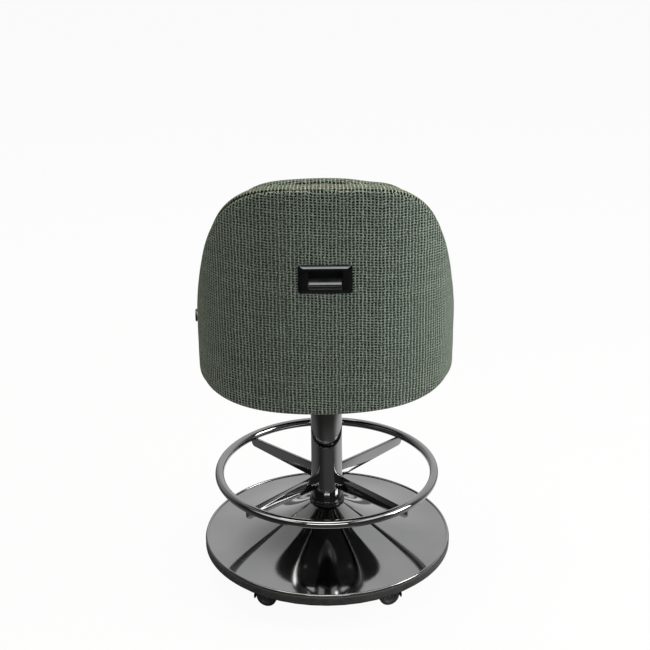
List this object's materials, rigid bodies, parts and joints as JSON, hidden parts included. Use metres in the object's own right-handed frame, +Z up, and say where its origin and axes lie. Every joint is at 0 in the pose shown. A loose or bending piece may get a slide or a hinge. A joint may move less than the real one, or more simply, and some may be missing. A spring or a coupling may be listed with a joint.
{
  "type": "gaming stool",
  "caption": "Upholstered tub-back stool that swivels on a column with a foot ring and rolls on a weighted round base with casters.",
  "frame": {"origin": "on the floor under the column axis", "axes": "+Z up along the column, the sitter faces -Y and the back is on the +Y side"},
  "size_m": [0.508, 0.508, 0.9225],
  "materials": {
    "black_nickel": "mirror",
    "cast_iron": "rough",
    "steel": "satin",
    "bronze": "satin",
    "black_plastic": "gloss",
    "black_rubber": "matte",
    "green_fabric": "woven",
    "plywood": "raw"
  },
  "bodies": {
    "base": {"base_cover": "black_nickel", "rim_band": "black_rubber", "base_collar": "black_rubber", "ballast_weight": "cast_iron", "column_foot": "steel", "column_tube": "black_nickel", "footring_tube": "black_nickel", "swivel_bush_lower": "bronze", "swivel_bush_upper": "bronze", "thrust_washer": "steel", "footring_spoke_1": "black_nickel", "footring_spoke_2": "black_nickel", "footring_spoke_3": "black_nickel", "footring_spoke_4": "black_nickel", "caster_1_socket": "steel", "caster_2_socket": "steel", "caster_3_socket": "steel", "caster_4_socket": "steel", "caster_5_socket": "steel"},
    "seat": {"seat_spindle": "steel", "spindle_clip": "steel", "swivel_plate": "steel", "seat_rail_left": "steel", "seat_rail_right": "steel", "seat_bolt_1": "steel", "seat_bolt_2": "steel", "seat_bolt_3": "steel", "seat_bolt_4": "steel", "seat_pan": "plywood", "seat_cushion": "green_fabric", "back_rear_pad": "green_fabric", "back_shell": "plywood", "back_boxing": "green_fabric", "back_front_pad": "green_fabric", "back_bracket": "steel", "handle_bezel": "black_plastic", "handle_cup": "black_plastic", "side_cap": "black_plastic", "side_cap_washer": "steel"},
    "caster_1": {"caster_1_hood": "black_plastic"},
    "caster_1_wheels": {"caster_1_axle": "steel", "caster_1_wheel_left": "black_rubber", "caster_1_wheel_right": "black_rubber"},
    "caster_2": {"caster_2_hood": "black_plastic"},
    "caster_2_wheels": {"caster_2_axle": "steel", "caster_2_wheel_left": "black_rubber", "caster_2_wheel_right": "black_rubber"},
    "caster_3": {"caster_3_hood": "black_plastic"},
    "caster_3_wheels": {"caster_3_axle": "steel", "caster_3_wheel_left": "black_rubber", "caster_3_wheel_right": "black_rubber"},
    "caster_4": {"caster_4_hood": "black_plastic"},
    "caster_4_wheels": {"caster_4_axle": "steel", "caster_4_wheel_left": "black_rubber", "caster_4_wheel_right": "black_rubber"},
    "caster_5": {"caster_5_hood": "black_plastic"},
    "caster_5_wheels": {"caster_5_axle": "steel", "caster_5_wheel_left": "black_rubber", "caster_5_wheel_right": "black_rubber"}
  },
  "joints": [
    {"name": "seat_swivel", "type": "hinge", "parent": "base", "child": "seat", "pos_m": [0, 0, 0.455], "axis": [0, 0, 1], "continuous": true},
    {"name": "caster_1_swivel", "type": "hinge", "parent": "base", "child": "caster_1", "pos_m": [-0.10463, 0.144, 0.06], "axis": [0, 0, 1], "continuous": true},
    {"name": "caster_1_roll", "type": "hinge", "parent": "caster_1", "child": "caster_1_wheels", "pos_m": [-0.11984, 0.13906, 0.021], "axis": [-0.309, 0.9511, 0], "continuous": true},
    {"name": "caster_2_swivel", "type": "hinge", "parent": "base", "child": "caster_2", "pos_m": [0.10463, 0.144, 0.06], "axis": [0, 0, 1], "continuous": true},
    {"name": "caster_2_roll", "type": "hinge", "parent": "caster_2", "child": "caster_2_wheels", "pos_m": [0.11984, 0.13906, 0.021], "axis": [-0.309, -0.9511, 0], "continuous": true},
    {"name": "caster_3_swivel", "type": "hinge", "parent": "base", "child": "caster_3", "pos_m": [0.16929, -0.055, 0.06], "axis": [0, 0, 1], "continuous": true},
    {"name": "caster_3_roll", "type": "hinge", "parent": "caster_3", "child": "caster_3_wheels", "pos_m": [0.16929, -0.071, 0.021], "axis": [-1, 0, 0], "continuous": true},
    {"name": "caster_4_swivel", "type": "hinge", "parent": "base", "child": "caster_4", "pos_m": [0, -0.178, 0.06], "axis": [0, 0, 1], "continuous": true},
    {"name": "caster_4_roll", "type": "hinge", "parent": "caster_4", "child": "caster_4_wheels", "pos_m": [-0.01522, -0.18294, 0.021], "axis": [-0.309, 0.9511, 0], "continuous": true},
    {"name": "caster_5_swivel", "type": "hinge", "parent": "base", "child": "caster_5", "pos_m": [-0.16929, -0.055, 0.06], "axis": [0, 0, 1], "continuous": true},
    {"name": "caster_5_roll", "type": "hinge", "parent": "caster_5", "child": "caster_5_wheels", "pos_m": [-0.16929, -0.071, 0.021], "axis": [-1, 0, 0], "continuous": true}
  ]
}
